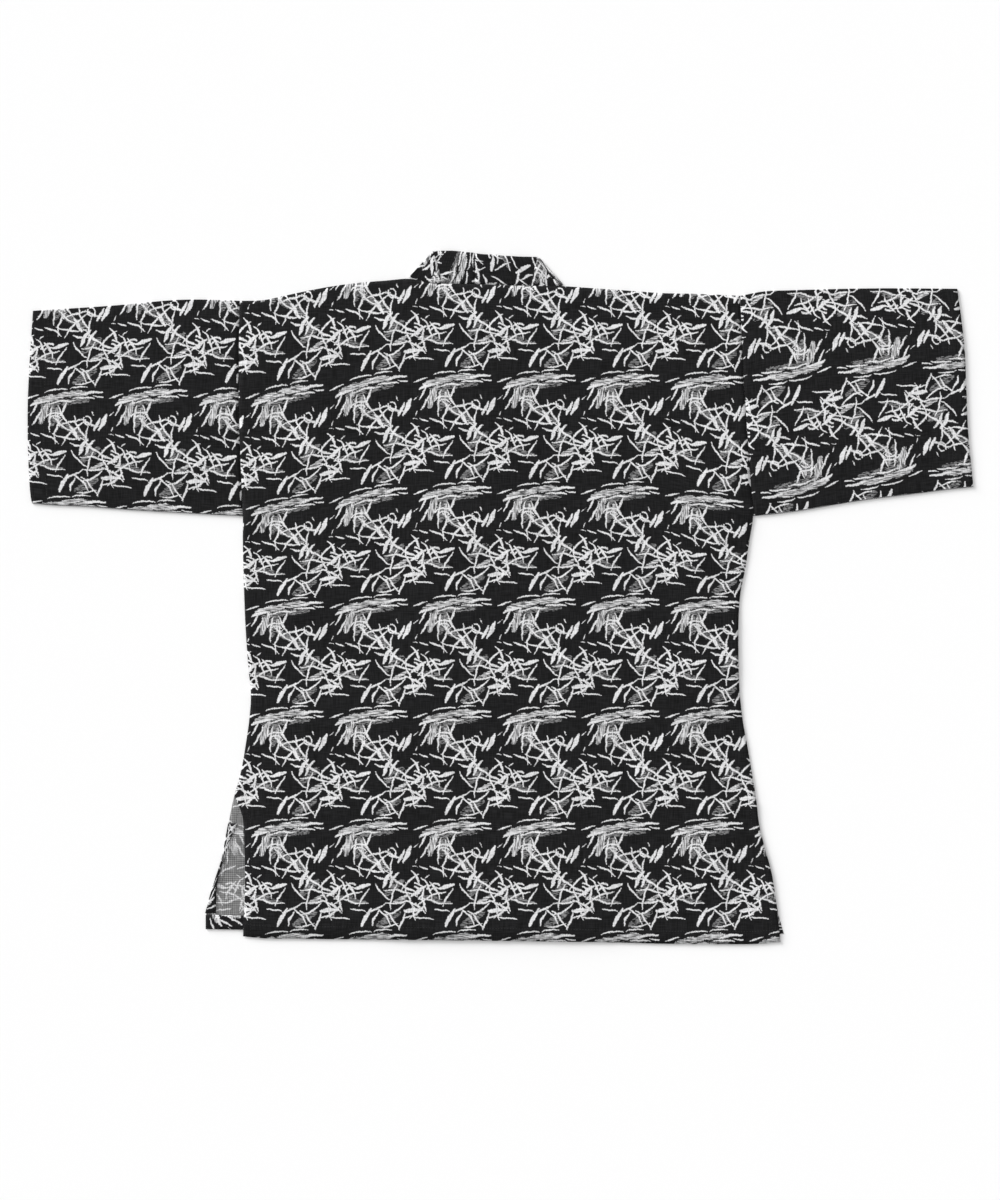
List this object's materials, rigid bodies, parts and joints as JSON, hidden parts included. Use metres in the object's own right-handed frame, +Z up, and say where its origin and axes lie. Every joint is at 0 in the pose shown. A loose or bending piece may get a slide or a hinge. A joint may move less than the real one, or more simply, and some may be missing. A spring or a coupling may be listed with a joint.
{
  "type": "jinbei top",
  "caption": "Short kimono-like summer top laid flat and face down: lapped fronts, straight sleeves, folded collar band, side slits and ties.",
  "frame": {"origin": "centre of the laid-out garment's box, on the surface that it lies on", "axes": "+X towards the wearer's right sleeve, +Y from the hem towards the collar, +Z up from the surface, on the back's side"},
  "size_m": [1.082, 0.7936, 0.0076],
  "materials": {
    "body_cloth": "slubbed plain-weave cotton, black with an off-white brush-stroke print",
    "sleeve_cloth": "the same printed cotton as the body",
    "collar_cloth": "the same printed cotton, folded double",
    "turned_edge": "printed side of the cotton, turned to the inside",
    "tie_cloth": "the same printed cotton, folded to a narrow tie"
  },
  "bodies": {
    "root": {"back": "body_cloth", "left_front": "body_cloth", "right_front": "body_cloth", "left_sleeve": "sleeve_cloth", "right_sleeve": "sleeve_cloth", "collar_left": "collar_cloth", "collar_right": "collar_cloth", "left_front_hem": "turned_edge", "left_front_slit_turning": "turned_edge", "outer_tie_front": "tie_cloth", "outer_tie_side": "tie_cloth", "inner_tie_front": "tie_cloth", "inner_tie_side": "tie_cloth"}
  },
  "joints": []
}
